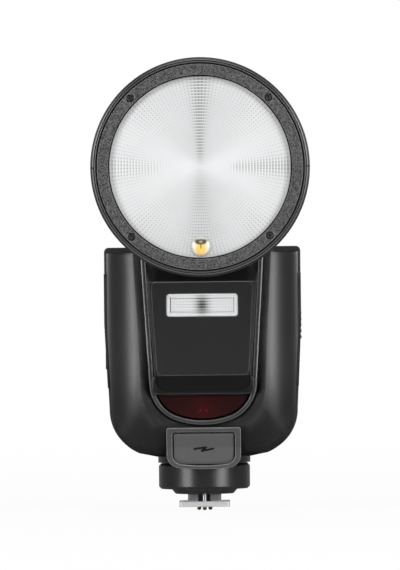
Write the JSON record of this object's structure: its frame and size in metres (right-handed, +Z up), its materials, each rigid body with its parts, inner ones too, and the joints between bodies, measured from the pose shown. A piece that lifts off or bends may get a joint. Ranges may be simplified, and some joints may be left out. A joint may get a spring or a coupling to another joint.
{
  "type": "round head camera flash",
  "caption": "Hot-shoe flash with a round zooming head on a panning turret, a detachable sub-flash, a slide-in battery and a display with keys and a dial on the back.",
  "frame": {"origin": "centre of the hot-shoe foot plate underside, on the pan axis", "axes": "+Z up through the body, -Y the way the head and front point at rest, +X to the right as seen from the front"},
  "size_m": [0.079, 0.0953, 0.165],
  "materials": {
    "body_black": "fine moulded texture",
    "ring_black": "coarse spark texture",
    "gloss_black": "polished",
    "cover_grey": "fine matt texture",
    "rubber_black": "matt",
    "key_grey": "satin",
    "foot_metal": "plated, lightly brushed",
    "contact_metal": "plated",
    "steel": "satin",
    "screw_black": "blackened",
    "lens_clear": "moulded, finely grooved",
    "window_clear": "polished",
    "window_red": "polished dark red",
    "lamp_dome": "clear over a warm lamp",
    "mirror_bright": "polished",
    "tube_glass": "clear",
    "board_green": "lacquered",
    "display_dark": "unlit display",
    "can_black": "sleeved"
  },
  "bodies": {
    "body": {"rear_shell": "body_black", "front_shell": "body_black", "bottom_plate": "body_black", "bezel_trim": "gloss_black", "assist_window": "window_red", "assist_lamp": "window_red", "neck_frame": "gloss_black", "neck_cover": "cover_grey", "foot_base": "body_black", "foot_flange": "body_black", "foot_plate": "foot_metal", "foot_insert": "body_black", "battery_sleeve": "body_black", "port_panel": "body_black", "sync_jack": "body_black", "usb_socket": "steel", "display_window": "gloss_black", "display_module": "display_dark", "main_board": "board_green", "main_capacitor": "can_black", "body_screws": "screw_black"},
    "contacts": {"contact_pins": "contact_metal"},
    "lock_ring": {"lock_collar": "body_black"},
    "locking_pin": {"lock_pin": "steel"},
    "turret": {"turret": "body_black", "tilt_axle": "steel"},
    "head": {"head_upper_shell": "body_black", "head_lower_shell": "body_black", "front_ring": "ring_black", "ring_screws": "screw_black", "fresnel_lens": "lens_clear", "led_dome": "lamp_dome", "led_board": "board_green", "zoom_bulkhead": "body_black", "zoom_motor": "steel", "guide_rods": "steel"},
    "zoom_unit": {"zoom_carriage": "body_black", "reflector": "mirror_bright", "flash_tube": "tube_glass"},
    "zoom_screw": {"lead_screw": "steel"},
    "sub_flash": {"sub_flash_case": "body_black", "sub_flash_back": "body_black", "sub_flash_window": "window_clear", "sub_flash_reflector": "mirror_bright", "sub_flash_tube": "tube_glass"},
    "battery": {"battery_case": "body_black", "battery_cap": "body_black"},
    "battery_latch": {"battery_release": "key_grey"},
    "sync_cover": {"sync_cover": "rubber_black"},
    "usb_cover": {"usb_cover": "rubber_black"},
    "dial": {"dial_ring": "ring_black"},
    "set_key": {"set_button": "key_grey"},
    "switch": {"power_switch": "key_grey"},
    "key_1": {"function_key_1": "key_grey"},
    "key_2": {"function_key_2": "key_grey"},
    "key_3": {"function_key_3": "key_grey"},
    "key_4": {"function_key_4": "key_grey"},
    "mode_key": {"mode_key": "key_grey"},
    "menu_key": {"menu_key": "key_grey"},
    "test_button": {"test_button": "key_grey"}
  },
  "joints": [
    {"name": "turret_pan", "type": "hinge", "parent": "body", "child": "turret", "pos_m": [0, 0, 0.095], "axis": [0, 0, 1], "range_deg": [-150, 180]},
    {"name": "head_tilt", "type": "hinge", "parent": "turret", "child": "head", "pos_m": [0, 0, 0.124], "axis": [-1, 0, 0], "range_deg": [-7, 120]},
    {"name": "zoom_slide", "type": "slide", "parent": "head", "child": "zoom_unit", "axis": [0, -1, 0], "range_m": [-0.0008, 0.0045]},
    {"name": "zoom_screw_turn", "type": "hinge", "parent": "head", "child": "zoom_screw", "pos_m": [0, -0.057, 0.1555], "axis": [0, -1, 0], "range_deg": [-300, 1650]},
    {"name": "lock_turn", "type": "hinge", "parent": "body", "child": "lock_ring", "pos_m": [0, 0, 0.011], "axis": [0, 0, 1], "range_deg": [0, 60]},
    {"name": "lock_pin_drop", "type": "slide", "parent": "body", "child": "locking_pin", "axis": [0, 0, -1], "range_m": [0, 0.0014]},
    {"name": "contact_press", "type": "slide", "parent": "body", "child": "contacts", "axis": [0, 0, 1], "range_m": [0, 0.0012], "stiffness_N_per_m": 400},
    {"name": "sub_flash_pull", "type": "slide", "parent": "body", "child": "sub_flash", "axis": [0, -1, 0], "range_m": [0, 0.012]},
    {"name": "battery_slide", "type": "slide", "parent": "body", "child": "battery", "axis": [1, 0, 0], "range_m": [0, 0.062]},
    {"name": "battery_release_press", "type": "slide", "parent": "battery", "child": "battery_latch", "axis": [-1, 0, 0], "range_m": [0, 0.0009], "stiffness_N_per_m": 500},
    {"name": "sync_cover_hinge", "type": "hinge", "parent": "body", "child": "sync_cover", "pos_m": [-0.0349, -0.0107, 0.076], "axis": [0, 0, 1], "range_deg": [0, 110]},
    {"name": "usb_cover_hinge", "type": "hinge", "parent": "body", "child": "usb_cover", "pos_m": [-0.0349, -0.0107, 0.055], "axis": [0, 0, 1], "range_deg": [0, 110]},
    {"name": "function_key_1_press", "type": "slide", "parent": "body", "child": "key_1", "axis": [0, -1, 0], "range_m": [0, 0.0006], "stiffness_N_per_m": 500},
    {"name": "function_key_2_press", "type": "slide", "parent": "body", "child": "key_2", "axis": [0, -1, 0], "range_m": [0, 0.0006], "stiffness_N_per_m": 500},
    {"name": "function_key_3_press", "type": "slide", "parent": "body", "child": "key_3", "axis": [0, -1, 0], "range_m": [0, 0.0006], "stiffness_N_per_m": 500},
    {"name": "function_key_4_press", "type": "slide", "parent": "body", "child": "key_4", "axis": [0, -1, 0], "range_m": [0, 0.0006], "stiffness_N_per_m": 500},
    {"name": "mode_key_press", "type": "slide", "parent": "body", "child": "mode_key", "axis": [0, -1, 0], "range_m": [0, 0.0006], "stiffness_N_per_m": 500},
    {"name": "menu_key_press", "type": "slide", "parent": "body", "child": "menu_key", "axis": [0, -1, 0], "range_m": [0, 0.0006], "stiffness_N_per_m": 500},
    {"name": "test_button_press", "type": "slide", "parent": "body", "child": "test_button", "axis": [0, -1, 0], "range_m": [0, 0.0006], "stiffness_N_per_m": 500},
    {"name": "set_button_press", "type": "slide", "parent": "body", "child": "set_key", "axis": [0, -1, 0], "range_m": [0, 0.0006], "stiffness_N_per_m": 500},
    {"name": "dial_turn", "type": "hinge", "parent": "body", "child": "dial", "pos_m": [0, 0.027, 0.03835], "axis": [0, 1, 0], "continuous": true},
    {"name": "power_switch_slide", "type": "slide", "parent": "body", "child": "switch", "axis": [1, 0, 0], "range_m": [0, 0.0024]}
  ],
  "couplings": [
    {"joint": "lock_pin_drop", "follows": "lock_turn", "m_per_rad": 0.0013369},
    {"joint": "zoom_screw_turn", "follows": "zoom_slide", "rad_per_m": 6283.2}
  ]
}
